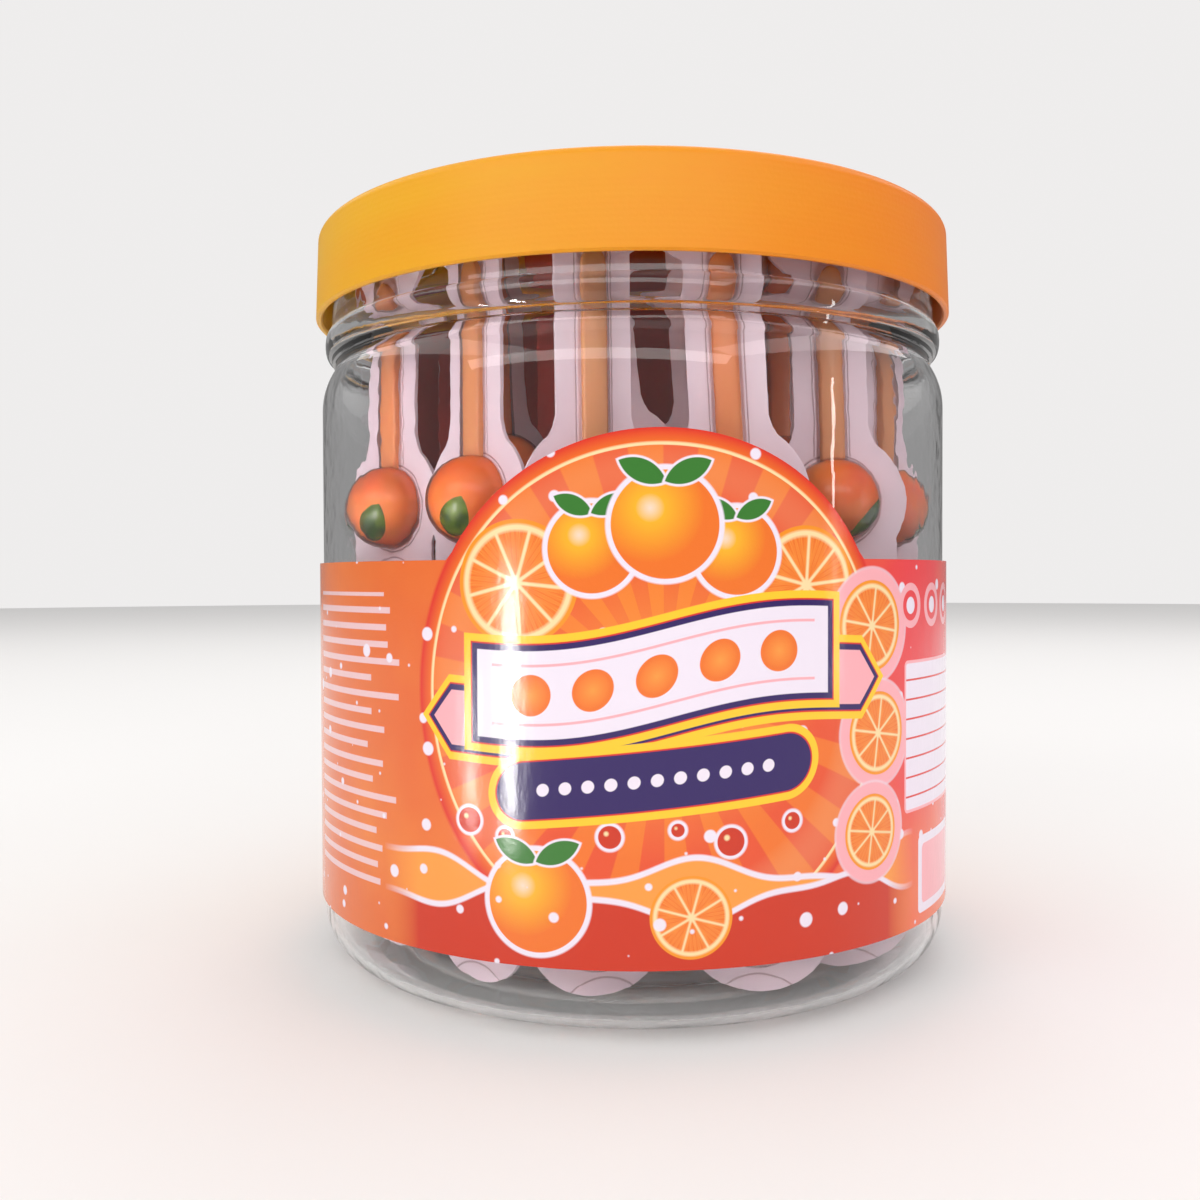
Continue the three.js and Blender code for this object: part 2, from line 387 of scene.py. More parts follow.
jar = piece_from(turned(jar_profile(), JAR_STEPS), "clear_jar", clear_jar_finish(), sharp=50)
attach(jar, "root")
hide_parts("jar")

# ---------------------------------------------------------------------------------------------
# The lid: an injection-moulded cap of solid plastic, smooth all round, of one yellow-orange with
# painted light on it: yellow at the left as under white light, orange at the right as under pink
# light. Its skirt has a slight draft and faint mould lines. Its top is rimmed.
# ---------------------------------------------------------------------------------------------
LID_LOW_RADIUS = 60.07
LID_TOP_RADIUS = 59.58
LID_CORNER = 1.5
LID_BOTTOM = 117.4
LID_TOP = 133
LID_WALL = 1.2
LID_RIM = 5
LID_SINK = 0.7
LID_STEPS = 192
# The lid's colour at its two sides: painted white light makes it yellow at the left, painted pink light
# makes it orange at the right.
LID_WHITE_LIT_YELLOW = (0.8, 0.42, 0.006, 1)
LID_PINK_LIT_ORANGE = (0.82, 0.2, 0.003, 1)
LID_PAINTED_LIGHT_RUN = 130
LID_LINE_PITCH = 0.9


def lid_profile():
    """The cap's section from the ceiling, down inside the skirt, up outside and across the top."""
    rim_inner = LID_TOP_RADIUS - LID_CORNER - LID_RIM
    ceiling = LID_TOP - LID_SINK - LID_WALL
    lip = 0.35
    return [
        (0, ceiling),
        (LID_TOP_RADIUS - LID_WALL - 1, ceiling),
        (LID_TOP_RADIUS - LID_WALL, ceiling - 1),
        (LID_LOW_RADIUS - LID_WALL, LID_BOTTOM + lip),
        (LID_LOW_RADIUS - LID_WALL + lip, LID_BOTTOM),
        (LID_LOW_RADIUS - lip, LID_BOTTOM),
        (LID_LOW_RADIUS, LID_BOTTOM + lip),
        *arc(LID_TOP_RADIUS - LID_CORNER, LID_TOP - LID_CORNER, LID_CORNER, 0, 90, 8),
        *arc(rim_inner + 0.4, LID_TOP - 0.4, 0.4, 90, 150, 3),
        (rim_inner - 0.4, LID_TOP - LID_SINK + 0.12),
        (rim_inner - 1.0, LID_TOP - LID_SINK),
        (30, LID_TOP - LID_SINK + 0.05),
        *arc(28, LID_TOP - LID_SINK - 0.15, 0.35, 30, 150, 4),
        (26, LID_TOP - LID_SINK),
        (3, LID_TOP - LID_SINK),
        (2, LID_TOP - LID_SINK - 0.25),
        (0, LID_TOP - LID_SINK - 0.3),
    ]


def lid_finish():
    """Satin plastic with fine level mould lines and a skin of tiny pits. Its yellow flowing into orange
    across it is painted light: white light at the left, pink light at the right.
    """
    finish = Finish("lid_plastic")
    place = finish.node("ShaderNodeTexCoord", output="Object")
    height = finish.node("ShaderNodeSeparateXYZ", {"Vector": place}, output="Z")
    across = finish.node("ShaderNodeSeparateXYZ", {"Vector": place}, output="X")
    across = across / (LID_PAINTED_LIGHT_RUN * MM) + 0.5
    lines = (height * (math.tau / (LID_LINE_PITCH * MM))).maths("SINE") * 0.5 + 0.5
    flow = finish.noise(26, detail=3, stretch=(0.5, 0.5, 5))
    pits = finish.noise(1500, detail=2)
    # Painted light: yellow at the left running into orange at the right, as white and pink light would fall
    # on it.
    colour = finish.blend(across * 1.1 + flow * 0.4 - 0.25, LID_WHITE_LIT_YELLOW, LID_PINK_LIT_ORANGE)
    shader = finish.principled(
        {
            "Base Color": colour,
            "Roughness": finish.noise(90, detail=2) * 0.12 + 0.36,
            "IOR": 1.4,
            "Subsurface Weight": 0.12,
            "Subsurface Radius": (1.0, 0.45, 0.1),
            "Subsurface Scale": 1.5 * MM,
            "Normal": finish.bump(lines * 0.2 + pits * 0.8, 0.03 * MM),
        }
    )
    return finish.coat_with(shader)


lid = piece_from(turned(lid_profile(), LID_STEPS), "screw_lid", lid_finish(), sharp=35)
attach(lid, "root")
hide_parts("lid")

# ---------------------------------------------------------------------------------------------
# The label: a glossy printed film, die-cut with a round arch at the front and wrapped once round
# the jar, with its butt seam behind. The print is plain: rays, cut fruit, blank plaques, bubbles.
# ---------------------------------------------------------------------------------------------
LABEL_GAP = 0.3
LABEL_THICK = 0.4
LABEL_BOTTOM = 11.7
LABEL_TOP = 72.5
ARCH_RADIUS = 39.2
ARCH_HEIGHT = 52.5
ARCH_AZIMUTH = math.radians(4.6)
LABEL_SEAM = 0.8
LABEL_COLUMNS = 360
LABEL_ROWS = 24
PRINT_LEFT = shown(228, 112, 48)
PRINT_FRONT = shown(232, 84, 44)
# PRINT_RIGHT is the ground's red-pink on the right, which is painted pink light; the small rings on the
# right panel are printed in it too.
PRINT_RIGHT = shown(236, 66, 72)
PRINT_GLOW = shown(250, 158, 66)
PRINT_RED = shown(222, 48, 38)
PRINT_JAM = shown(206, 52, 22)
PRINT_YELLOW = shown(252, 204, 44)
PRINT_NAVY = shown(46, 24, 96)
PRINT_LILAC = shown(240, 230, 244)
PRINT_ROSE = shown(250, 176, 184)
PRINT_CREAM = shown(250, 222, 168)
PRINT_PULP = shown(240, 118, 40)
PRINT_PEEL = shown(246, 150, 36)
PRINT_LEAF = shown(58, 124, 48)


def label_top(along):
    """Height of the sheet's top edge, along mm from the arch's middle."""
    if abs(along) >= ARCH_RADIUS:
        return LABEL_TOP
    return max(LABEL_TOP, ARCH_HEIGHT + math.sqrt(ARCH_RADIUS**2 - along**2))


def label_sheet():
    """A flat grid cut to the sheet's outline, wrapped round the jar and thickened."""
    inner = JAR_RADIUS + LABEL_GAP
    length = math.tau * inner - LABEL_SEAM
    sheet = bmesh.new()
    bmesh.ops.create_grid(sheet, x_segments=LABEL_COLUMNS, y_segments=LABEL_ROWS, size=0.5)
    for corner in sheet.verts:
        along = corner.co.x * length
        height = LABEL_BOTTOM + (label_top(along) - LABEL_BOTTOM) * (corner.co.y + 0.5)
        angle = along / inner + ARCH_AZIMUTH
        corner.co = Vector((inner * math.sin(angle), -inner * math.cos(angle), height)) * MM
    bmesh.ops.recalc_face_normals(sheet, faces=sheet.faces)
    outward = sheet.faces[0].normal.dot(sheet.faces[0].calc_center_median() * Vector((1, 1, 0)))
    if outward < 0:
        bmesh.ops.reverse_faces(sheet, faces=sheet.faces)
    bmesh.ops.solidify(sheet, geom=sheet.faces, thickness=-LABEL_THICK * MM)
    return sheet


class Print(Finish):
    """The label's artwork, drawn in mm along the sheet from the arch's middle and up from the foot."""

    def __init__(self, name, ground):
        super().__init__(name)
        place = self.node("ShaderNodeTexCoord", output="Object")
        place = self.node("ShaderNodeMapping", {"Vector": place, "Rotation": (0, 0, -ARCH_AZIMUTH)})
        x = self.node("ShaderNodeSeparateXYZ", {"Vector": place})
        wrap = x.maths("ARCTAN2", x.other("Y") * -1)
        self.along = wrap * (JAR_RADIUS + LABEL_GAP)
        self.up = x.other("Z") * 1000
        self.here = self.node("ShaderNodeCombineXYZ", {"X": self.along, "Y": self.up})
        self.colour = ground

    def vector(self, operation, one, two, output=0):
        return self.node("ShaderNodeVectorMath", {0: one, 1: two}, output=output, operation=operation)

    def lay(self, mask, colour):
        """Prints a colour over what is there, wherever the mask is 1."""
        self.colour = self.blend(mask, self.colour, colour)

    def from_point(self, x, z):
        return self.vector("DISTANCE", self.here, (x, z, 0), output="Value")

    def past_box(self, offset, half_x, half_z):
        """How far an offset reaches out of a box round zero: nothing inside the box."""
        reach = self.vector("ABSOLUTE", offset, (0, 0, 0))
        beyond = self.vector("SUBTRACT", reach, (half_x, half_z, 0))
        beyond = self.vector("MAXIMUM", beyond, (0, 0, 0))
        return self.vector("LENGTH", beyond, (0, 0, 0), output="Value")

    def from_plaque(self, x, z, half_x, half_z, corner):
        """Distance from a rounded panel's edge, below zero inside it."""
        offset = self.vector("SUBTRACT", self.here, (x, z, 0))
        return self.past_box(offset, half_x - corner, half_z - corner) - corner

    def from_leaf(self, x, z, length, width, tilt):
        """Distance from a pointed leaf: where two discs overlap. The tilt is from upright, to the right."""
        a, b = length / 2, width / 2
        radius = (a * a + b * b) / (2 * b)
        side_x, side_z = (radius - b) * math.cos(tilt), -(radius - b) * math.sin(tilt)
        one = self.from_point(x + side_x, z + side_z)
        return one.maths("MAXIMUM", self.from_point(x - side_x, z - side_z)) - radius

    def rays(self, x, z, count, turn):
        """From 0 in the middle of a ray to 0.5 at its edge, and the ray's own angle in turns."""
        offset = self.vector("SUBTRACT", self.here, (x, z, 0))
        split = self.node("ShaderNodeSeparateXYZ", {"Vector": offset})
        return (split.maths("ARCTAN2", split.other("Y")) * (count / math.tau) + turn).maths("PINGPONG", 0.5)

    def cut_fruit(self, x, z, radius, wedges, turn):
        """A round slice of fruit: peel, cream pith, and wedges of streaky pulp between pale skins."""
        out = self.from_point(x, z)
        skin = self.rays(x, z, wedges, turn)
        to_skin = (0.5 - skin) * out * (math.tau / wedges)
        sacs = self.node("ShaderNodeCombineXYZ", {"X": skin * 16, "Y": out * (1.6 / radius)})
        sacs = self.node("ShaderNodeTexNoise", {"Vector": sacs, "Scale": 1.0, "Detail": 3.0})
        pulp = self.blend(self.contrast(sacs, 0.42, 0.7), PRINT_PULP, PRINT_GLOW)
        self.lay((out - radius).within(), PRINT_PEEL)
        self.lay((out - radius * 0.92).within(radius * 0.05), PRINT_CREAM)
        wedge = (0.028 * radius - to_skin).within(0.25) * (out - radius * 0.82).within(radius * 0.06)
        self.lay(wedge * (0.1 * radius - out).within(0.5), pulp)

    def whole_fruit(self, x, z, radius):
        """A whole orange with a pale outline, a lit side, and two leaves at its top."""
        out = self.from_point(x, z)
        self.lay((out - radius - 0.8).within(0.3), PRINT_LILAC)
        body = (out - radius).within()
        self.lay(body, PRINT_PULP)
        lit = self.from_point(x - radius * 0.28, z + radius * 0.3)
        self.lay((lit - radius * 0.45).within(radius * 1.1) * body, PRINT_YELLOW)
        self.lay((lit - radius * 0.12).within(radius * 0.3) * 0.7, PRINT_LILAC)
        for side in (-1, 1):
            stalk_x, stalk_z = x + side * radius * 0.42, z + radius * 0.98
            leaf = self.from_leaf(stalk_x, stalk_z, radius * 0.95, radius * 0.42, side * 1.15)
            self.lay((leaf - 0.35).within(0.2), PRINT_LILAC)
            self.lay(leaf.within(), PRINT_LEAF)

    def outlined(self, distance, fill):
        """A blank shape with a navy and red edge inside a wide yellow outline."""
        self.lay((distance - 2.3).within(), PRINT_YELLOW)
        self.lay((distance - 1.15).within(), PRINT_RED)
        self.lay((distance - 0.9).within(), PRINT_NAVY)
        self.lay(distance.within(), fill)


def draw_ground(art):
    """Orange on the left, red-pink on the right, clouded, with big pale slices round the back. The red-pink
    on the right is painted pink light from that side, fading out round the back.
    """
    art.lay(art.contrast(art.along, -52, -10), PRINT_FRONT)
    # Painted light: red-pink over the right side, as pink light falling from the right.
    art.lay(art.contrast(art.along, 14, 46) * art.contrast(art.along, 150, 110), PRINT_RIGHT)
    cloud = art.contrast(art.noise(26, detail=3), 0.45, 0.75)
    art.lay(cloud * 0.5, PRINT_GLOW)
    slices = [(-122, 44, 27, 10), (124, 38, 26, 9), (-164, 24, 17, 9), (166, 58, 15, 8)]
    for x, z, radius, wedges in slices:
        art.cut_fruit(x, z, radius, wedges, 0.2)


def draw_sunburst(art):
    """Behind everything in the arch: rays from its centre, held by a cream ring and a red rim."""
    out = art.from_point(0, ARCH_HEIGHT)
    disc = (out - ARCH_RADIUS + 2.6).within()
    art.lay((out - ARCH_RADIUS - 0.2).within(0.6), PRINT_RED)
    art.lay((out - ARCH_RADIUS + 1.2).within(2.4), PRINT_PULP)
    art.lay((out - ARCH_RADIUS + 2.1).within(0.3), PRINT_CREAM)
    art.lay(disc, PRINT_FRONT)
    ray = (art.rays(0, ARCH_HEIGHT, 22, 0.25) - 0.25).within(0.03)
    art.lay(ray * disc, PRINT_PULP)
    art.lay((out - 12).within(26) * 0.85, PRINT_GLOW)
    haze = (out - ARCH_RADIUS + 6).within(9) * (ARCH_RADIUS - 6 - out).within(9)
    art.lay(haze * disc * 0.5, PRINT_CREAM)


def draw_fruit(art):
    """Cut and whole fruit: a pair of slices and three whole ones at the top, slices down the right."""
    art.cut_fruit(-22, 69, 9.5, 9, 0.1)
    art.cut_fruit(22.5, 68.5, 9, 9, 0.4)
    art.whole_fruit(-10.5, 74, 6.6)
    art.whole_fruit(11, 73.5, 6.4)
    art.whole_fruit(0.3, 77.5, 8)
    for x, z, radius in [(36, 62, 7.2), (37.5, 45, 6.6), (36, 29.5, 6)]:
        art.lay((art.from_point(x, z) - radius - 2).within(0.5), PRINT_ROSE)
        art.lay(abs(art.from_point(x, z) - radius - 2).within(0.7), PRINT_LILAC)
        art.cut_fruit(x, z, radius, 8, 0.3)


def draw_plaques(art):
    """A wavy ribbon over a capsule, both blank but for spots, at a slight upward slant."""
    spot_pitch, bead_pitch = 9.4, 3.4
    slant = art.along * 0.1
    wave = (art.along / 9.5).maths("SINE") * 1.5
    level = art.up - slant - wave - 55.5
    capsule_up = art.up - slant - 40
    here = art.node("ShaderNodeCombineXYZ", {"X": art.along + 1, "Y": capsule_up})
    capsule = art.past_box(here, 20, 0) - 3.4
    tail_level = level + 4.2
    notch = abs(tail_level) * 0.8 - 36.5
    tails = (abs(tail_level) - 4.2).maths("MAXIMUM", abs(art.along) + notch)
    band = (abs(level) - 6.6).maths("MAXIMUM", abs(art.along + 1) - 27.5)
    art.outlined(tails, PRINT_ROSE)
    art.outlined(capsule, PRINT_NAVY)
    art.outlined(band, PRINT_LILAC)
    rule = (abs(level) - 4.6).maths("MAXIMUM", 4.2 - abs(level)).within()
    art.lay(rule * (abs(art.along + 1) - 25).within(), PRINT_ROSE)
    step = art.along + 1 - ((art.along + 1) / spot_pitch).maths("ROUND") * spot_pitch
    disc = (step * step + level * level).maths("SQRT")
    inside = (abs(art.along + 1) - 24).within()
    art.lay((disc - 3.1).within() * inside, PRINT_PULP)
    art.lay((disc - 1.2).within(3.0) * inside, PRINT_GLOW)
    bead = art.along + 1 - ((art.along + 1) / bead_pitch).maths("ROUND") * bead_pitch
    bead = (bead * bead + capsule_up * capsule_up).maths("SQRT")
    art.lay((bead - 0.95).within() * (abs(art.along + 1) - 18.7).within(), PRINT_LILAC)


def draw_jam(art):
    """Along the bottom, two waves of jam with pale crests, and drops thrown up from them."""
    ripple = (art.along / 7.3 + 1).maths("SINE") * 2.2 + (art.along / 3.1).maths("SINE") * 0.7
    for level, colour in ((25.5, PRINT_GLOW), (21.5, PRINT_JAM)):
        crest = art.up - ripple * (1 if level > 22 else -1) - level
        art.lay(crest.within() * (abs(art.along) - 44).within(8), colour)
        art.lay((abs(crest) - 0.45).within(0.3) * (abs(art.along) - 44).within(8), PRINT_LILAC)
    drops = [
        (-30, 33, 1.9), (-24, 31, 1.1), (-8, 31.5, 1.7), (2, 32.5, 1.0), (10, 30.5, 2.1), (20, 33, 1.3),
    ]
    for x, z, radius in drops:
        art.lay((art.from_point(x, z) - radius - 0.5).within(0.3), PRINT_LILAC)
        art.lay((art.from_point(x, z) - radius).within(), PRINT_JAM)
        glint = art.from_point(x - radius * 0.3, z + radius * 0.3) - radius * 0.2
        art.lay(glint.within(0.3), PRINT_CREAM)
    art.whole_fruit(-19, 21.5, 7.6)
    art.cut_fruit(4, 19.5, 6.2, 8, 0.15)


def draw_panels(art):
    """Blank ruled panels at the sides: bare rules on the left, a pale table and rings on the right."""
    row_pitch, table_pitch = 2.75, 3.2
    row = art.up / row_pitch
    random_end = art.node("ShaderNodeTexWhiteNoise", {"W": row.maths("FLOOR")}, noise_dimensions="1D")
    rule = (abs(row.maths("FRACT") - 0.5) * row_pitch - 0.5).within()
    reach = (art.along + 44 + random_end * 9).within() * (-75 - art.along).within()
    art.lay(rule * reach * (abs(art.up - 43.5) - 24).within() * 0.62, PRINT_LILAC)
    for x in (47, 56, 65):
        art.lay((abs(art.from_point(x, 65)) - 3.7).within(), PRINT_ROSE)
        art.lay((art.from_point(x, 65) - 2.5).within(), PRINT_RIGHT)
        art.lay((art.from_point(x, 65) - 1.4).within(), PRINT_LILAC)
    table = art.from_plaque(59, 43.5, 14, 12.5, 1)
    art.lay(table.within(), PRINT_ROSE)
    art.lay((table + 0.5).within(), PRINT_LILAC)
    line = (abs((art.up / table_pitch).maths("FRACT") - 0.5) * table_pitch - 0.16).within()
    art.lay(line * (table + 0.5).within(), PRINT_RED)
    art.lay(art.from_plaque(60, 20, 10, 6.5, 1).within(), PRINT_LILAC)
    art.lay(art.from_plaque(60, 20, 8.5, 5, 1).within(), PRINT_ROSE)


def draw_bubbles(art):
    """White bubbles of all sizes, scattered at random all over the front."""
    cell = 7.5
    cells = {"Vector": art.here, "Scale": 1 / cell, "Randomness": 1.0}
    bubble = art.node("ShaderNodeTexVoronoi", cells, output="Distance", voronoi_dimensions="2D")
    size = art.node("ShaderNodeSeparateColor", {"Color": bubble.other("Color")})
    spot = bubble * cell - size * size * 1.15
    kept = (abs(art.along) - 120).within(20) * (size - 0.25).maths("GREATER_THAN", 0)
    art.lay(spot.within(0.25) * kept, PRINT_LILAC)


def label_finish():
    """Glossy printed film: the layers of the artwork, each laid over the ones before it."""
    art = Print("label_print", PRINT_LEFT)
    layers = (draw_ground, draw_sunburst, draw_jam, draw_bubbles, draw_fruit, draw_plaques, draw_panels)
    for draw in layers:
        draw(art)
    ripple = art.noise(420, detail=2, stretch=(1, 1, 0.4)) * 0.5
    speckle = art.noise(2400, detail=1) * 0.12
    shader = art.principled(
        {
            "Base Color": art.colour,
            "Roughness": art.noise(60, detail=2) * 0.08 + 0.13,
            "Normal": art.bump(ripple + speckle, 0.1 * MM),
        }
    )
    return art.coat_with(shader)


label = piece_from(label_sheet(), "wrap_label", label_finish(), sharp=50)
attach(label, "root")
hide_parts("label")

# ---------------------------------------------------------------------------------------------
# The sealed cards: each stick lies on a card, coated milky white in front, cut with a lobe round
# every ball, a narrow handle and a wide head. The red behind is painted shade: the backs show in
# the gaps between the sticks and give them their maroon. Thirty stand in the jar, in three rings.
# ---------------------------------------------------------------------------------------------
BALL_RADIUS = 7.4
BALL_PITCH = 16.7
BALL_COUNT = 5
BALL_BACK = 0.8
CARD_THICK = 0.7
CARD_LOBE = 12
LOBE_TURN = 32
CARD_WAIST = 10.2
CARD_HANDLE = 6.2
CARD_HEAD = 10.2
CARD_BOTTOM = 3.5
CARD_TOP = 124.5
LOWEST_BALL = CARD_BOTTOM + CARD_LOBE
TOP_BALL = LOWEST_BALL + (BALL_COUNT - 1) * BALL_PITCH
HEAD_START = 119.5
CHANNEL_RADIUS = 2.6
LEAN_PIVOT = 70
# Each ring's rise on the stepped base, then its sticks: azimuth, radius, turn and lean of each, and
# how far its gummies have rolled in their domes. The innermost sticks face each other.
RINGS = [
    (0, [
        (-63, 48.5, 25, 0, 20), (-32, 48.5, -10, 0, 22), (-6, 48.5, 28, -0.6, 10),
        (20, 48.5, -28, -2.9, -20), (46, 47.8, -43, -1.7, 56), (76, 49.5, -36, -1, 60),
        (97, 48.5, -30, 0.5, 14), (119, 48.5, -34, -0.8, -16), (141, 48.5, -26, 0.6, 24),
        (163, 48.5, -32, -0.5, 8), (186, 48.5, -28, 0.8, -22), (208, 48.5, 18, 0.4, 15),
        (230, 48.5, -30, 0.6, -12), (253, 48.5, -34, 0.7, 26), (275, 48.5, 16, -0.4, 4),
    ]),
    (5.5, [
        (-41.7, 32.2, 87.7, -3.5, 30), (-3.5, 32.2, 0, -6, 12), (28, 32.2, -32, -3.5, -15),
        (56, 33, -40, -1, 20), (88, 32.2, -30, 1, -8), (124, 32.2, 30, -1, 18),
        (160, 32.2, -25, 1.5, -24), (196, 32.2, 32, -1.2, 9), (232, 32.2, -28, 1, 28),
        (274, 32.2, -20, 0.8, -10),
    ]),
    (5, [
        (10, 15, 190, -1, 0), (82, 15, 172, 1, 0), (154, 15, 192, 0.6, 0),
        (226, 15, 170, -0.8, 0), (298, 15, 186, 0.5, 0),
    ]),
]
TONE_SEED = 30
CARD_WHITE = shown(243, 224, 234)
CARD_CLOUD = shown(234, 204, 220)
CARD_SEAM = shown(150, 104, 114)
# The red of the card backs is painted shade, for the maroon of the shaded gaps between the sticks.
BACK_SHADE_RED = shown(205, 66, 58)
BACK_SHADE_DEEP_RED = shown(176, 62, 50)


def card_outline():
    """The right-hand edge from the tongue to the head, and the same edge mirrored back down."""
    handle = math.degrees(math.acos(CARD_HANDLE / CARD_LOBE))
    edge = arc(0, LOWEST_BALL, CARD_LOBE, -90, LOBE_TURN, 16)
    for ball in range(1, BALL_COUNT):
        centre = LOWEST_BALL + ball * BALL_PITCH
        waist = centre - BALL_PITCH / 2
        edge += [(CARD_WAIST + 0.12, waist - 0.9), (CARD_WAIST, waist), (CARD_WAIST + 0.12, waist + 0.9)]
        last = ball == BALL_COUNT - 1
        edge += arc(0, centre, CARD_LOBE, -LOBE_TURN, handle - 7 if last else LOBE_TURN, 10)
    shoulder = TOP_BALL + CARD_LOBE * math.sin(math.radians(handle))
    edge += [(CARD_HANDLE + 0.5, shoulder + 0.5), (CARD_HANDLE, shoulder + 2.4), (CARD_HANDLE, HEAD_START)]
    edge += arc(CARD_HEAD - 1.2, HEAD_START + 2.6, 1.2, -40, 0, 3)
    edge += arc(CARD_HEAD - 2, CARD_TOP - 2, 2, 0, 90, 5)
    return edge + [(-x, z) for x, z in reversed(edge) if x > 0]


def places_in_jar():
    """Where each stick stands: a matrix that leans it, turns it and moves it out from the axis."""
    places = []
    for rise, sticks in RINGS:
        for azimuth, radius, turn, lean, _ in sticks:
            stand = round_the_jar(azimuth, radius * MM, rise * MM)
            pivot = Matrix.Translation((0, 0, LEAN_PIVOT * MM))
            leaning = pivot @ Matrix.Rotation(math.radians(lean), 4, "Y") @ pivot.inverted()
            turned_round = Matrix.Rotation(math.radians(azimuth + turn), 4, "Z")
            places.append(Matrix.Translation(stand) @ turned_round @ leaning)
    return places


STICK_PLACES = places_in_jar()


def in_every_place(pattern, places):
    """Copies a pattern into all the places, as one bmesh. Each copy has a tone of its own, 0 to 1."""
    mesh = bpy.data.meshes.new("pattern")
    pattern.to_mesh(mesh)
    pattern.free()
    heap = bmesh.new()
    for place in places:
        before = len(heap.verts)
        heap.from_mesh(mesh)
        heap.verts.ensure_lookup_table()
        bmesh.ops.transform(heap, matrix=place, verts=heap.verts[before:])
    one_share = len(mesh.vertices)
    bpy.data.meshes.remove(mesh)
    random.seed(TONE_SEED)
    tones = [random.random() for _ in places]
    layer = heap.verts.layers.float.new("tone")
    heap.verts.ensure_lookup_table()
    for index, corner in enumerate(heap.verts):
        corner[layer] = tones[index // one_share]
    return heap


def one_card():
    """A flat cut card, red behind for the painted shade in the gaps. Its UV map holds its flat coordinates,
    in units of 10 cm.
    """
    card = bmesh.new()
    corners = [card.verts.new((x * MM, BALL_BACK * MM, z * MM)) for x, z in card_outline()]
    front = card.faces.new(corners)
    grown = bmesh.ops.extrude_face_region(card, geom=[front])["geom"]
    moved = [v for v in grown if isinstance(v, bmesh.types.BMVert)]
    bmesh.ops.translate(card, vec=(0, CARD_THICK * MM, 0), verts=moved)
    bmesh.ops.recalc_face_normals(card, faces=card.faces)
    for face in card.faces:
        if face.normal.y > 0.9:
            face.material_index = 1
    flat = card.loops.layers.uv.new("flat")
    for face in card.faces:
        for loop in face.loops:
            loop[flat].uv = (loop.vert.co.x * 10, loop.vert.co.z * 10)
    return card


def card_finish():
    """Milky coated card. Fine darker seams show where the film is welded on, round balls and handle."""
    finish = Finish("sealed_card")
    flat = finish.node("ShaderNodeUVMap", uv_map="flat")
    across = finish.node("ShaderNodeSeparateXYZ", {"Vector": flat})
    up = across.other("Y") * 100
    across = abs(across * 100)
    lobe = (up - LOWEST_BALL) / BALL_PITCH
    from_ball = (lobe - lobe.maths("ROUND").maths("MINIMUM", BALL_COUNT - 1)) * BALL_PITCH
    ring = abs((across * across + from_ball * from_ball).maths("SQRT") - (BALL_RADIUS + 0.45)) - 0.14
    in_channel = (TOP_BALL + BALL_RADIUS - up).within(1.0)
    groove = (abs(across - (CHANNEL_RADIUS + 0.35)) - 0.1).within(0.16) * in_channel
    seam = ring.within(0.2).maths("MAXIMUM", groove)
    cloud = finish.noise(70, detail=3)
    ground = finish.blend(cloud, CARD_WHITE, CARD_CLOUD)
    crumple = finish.noise(160, detail=2, stretch=(1, 1, 0.4))
    shader = finish.principled(
        {
            "Base Color": finish.blend(seam * 0.7, ground, CARD_SEAM),
            "Roughness": cloud * 0.14 + 0.26,
            "Subsurface Weight": 0.15,
            "Subsurface Radius": (1.0, 0.8, 0.8),
            "Subsurface Scale": 1.0 * MM,
            "Normal": finish.bump(crumple - seam * 0.6, 0.12 * MM),
        }
    )
    return finish.coat_with(shader)


def card_back_finish():
    """The reverse of the card, mottled red: painted shade, which gives the gaps between the sticks their
    maroon.
    """
    finish = Finish("card_back")
    mottle = finish.noise(120, detail=3)
    shader = finish.principled(
        {
            "Base Color": finish.blend(mottle, BACK_SHADE_RED, BACK_SHADE_DEEP_RED),
            "Roughness": mottle * 0.2 + 0.25,
            "Normal": finish.bump(finish.noise(160, detail=2, stretch=(1, 1, 0.4)), 0.15 * MM),
        }
    )
    return finish.coat_with(shader)


card_heap = in_every_place(one_card(), STICK_PLACES)
cards = piece_from(card_heap, "sealed_cards", card_finish(), card_back_finish())
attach(cards, "root")
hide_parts("candy_sticks")

# ---------------------------------------------------------------------------------------------
# The gummies: five soft orange domes on each stick, starch-moulded with jam inside, so each is a
# little uneven. Their backs are flat against the card and their skins are moist and smooth.
# ---------------------------------------------------------------------------------------------
GUMMY_RADIUS = 6.95
GUMMY_LIFT = 0.25
WAVE_LENGTH = 5.2
UNEVENNESS = 0.12
GUMMY_DEEP = shown(252, 98, 16)
GUMMY_BRIGHT = shown(255, 152, 48)
GUMMY_ROSE = shown(255, 146, 98)


def dome(radius, back, lift, rings, meridians):
    """A flat-backed dome that faces the viewer, with its middle at the origin."""
    profile = [(0, -back), (radius, -back), *arc(0, 0, radius, 0, 90, rings)]
    shape = turned([*profile[:-1], (0, radius)], meridians)
    facing = Matrix.Translation((0, 0, lift * MM)) @ Matrix.Rotation(math.radians(90), 4, "X")
    bmesh.ops.transform(shape, matrix=facing, verts=shape.verts)
    return shape


def down_the_stick(make_one):
    """One stick's five: a fine one at the top, which shows, and four plainer ones behind the label."""
    column = bmesh.new()
    for index in range(BALL_COUNT):
        one = make_one(fine=index == BALL_COUNT - 1)
        bmesh.ops.translate(one, vec=(0, 0, (LOWEST_BALL + index * BALL_PITCH) * MM), verts=one.verts)
        mesh = bpy.data.meshes.new("one")
        one.to_mesh(mesh)
        one.free()
        column.from_mesh(mesh)
        bpy.data.meshes.remove(mesh)
    return column


def one_gummy(fine):
    return dome(GUMMY_RADIUS, BALL_BACK + 0.1, GUMMY_LIFT, 9 if fine else 4, 32 if fine else 14)


